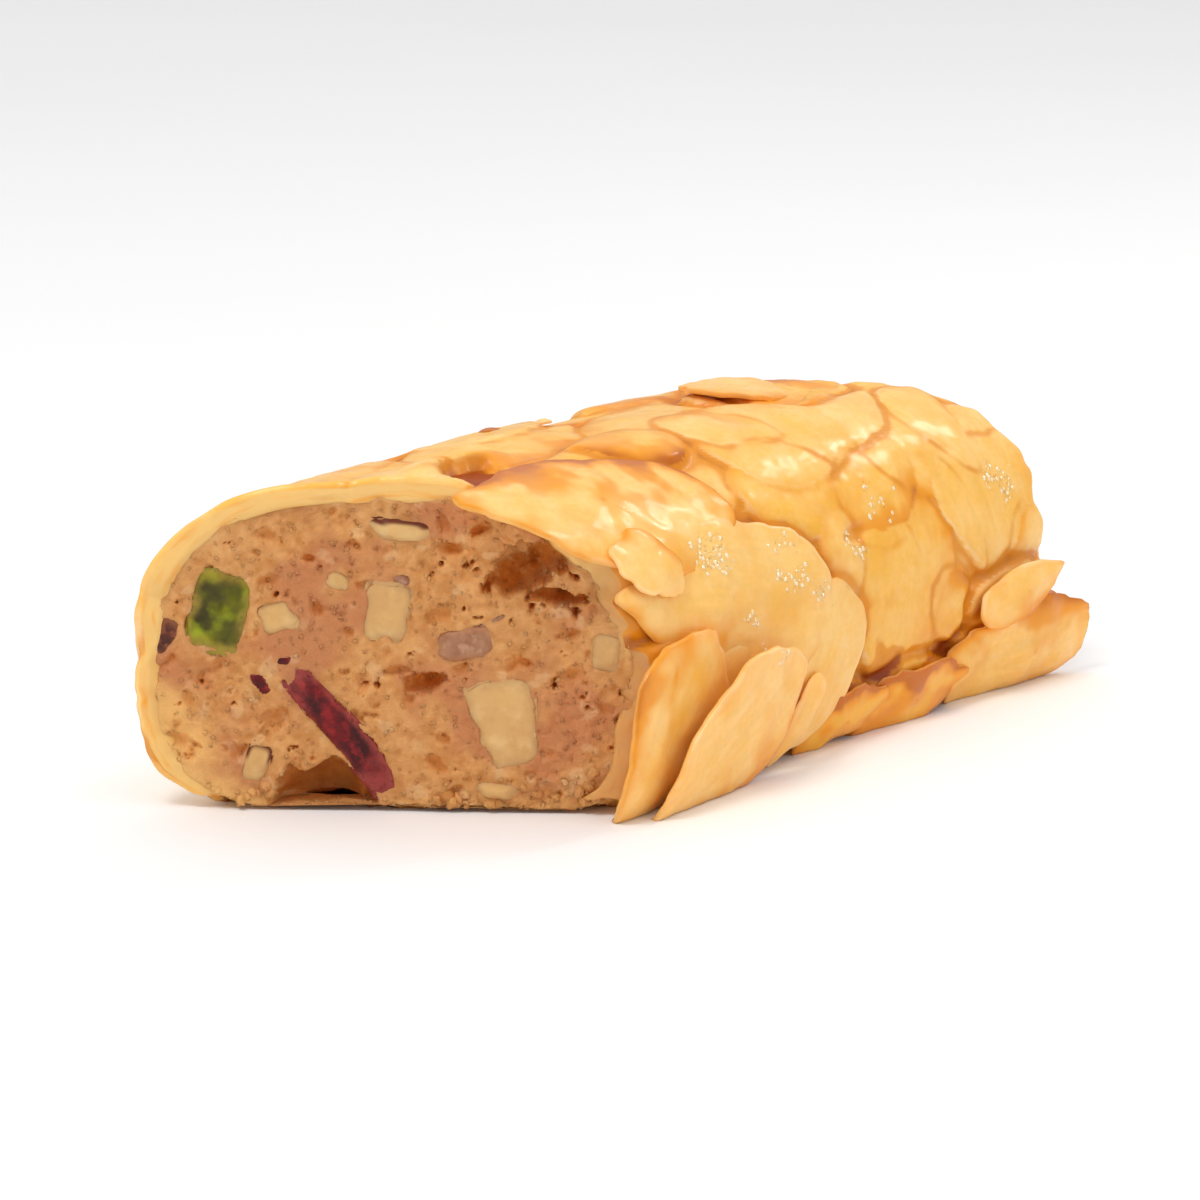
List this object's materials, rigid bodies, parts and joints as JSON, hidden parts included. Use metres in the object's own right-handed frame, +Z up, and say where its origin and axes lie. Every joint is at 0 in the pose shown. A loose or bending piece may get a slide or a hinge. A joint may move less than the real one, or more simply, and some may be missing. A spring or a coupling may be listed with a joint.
{
  "type": "almond biscuit slice",
  "caption": "Slice of a baked almond log coated in glazed flaked almonds, with nuts and candied fruit in the dough at its two slanted cuts.",
  "frame": {"origin": "on the flat baked base, below the middle of the log and midway between its two cuts", "axes": "+X along the log, from the cut with the long red fruit strip to the other cut; +Z up; -Y towards the long side that the picture shows"},
  "size_m": [0.0772, 0.0343, 0.0255],
  "materials": {
    "crust": "satin",
    "green_fruit": "gloss",
    "red_fruit": "satin",
    "raisin": "satin",
    "almond": "satin",
    "nut": "matte"
  },
  "bodies": {
    "root": {"biscuit": "crust", "green_fruit": "green_fruit", "red_fruit": "red_fruit", "raisin": "raisin", "almond_chunk": "almond", "almond_crescent": "almond", "almond_cube": "almond", "almond_side": "almond", "almond_left": "almond", "almond_shard": "almond", "skinned_nut": "nut", "green_fruit_far": "green_fruit", "red_fruit_far": "red_fruit", "almond_far_round": "almond", "almond_far_cube": "almond", "almond_far_shard": "almond"}
  },
  "joints": []
}
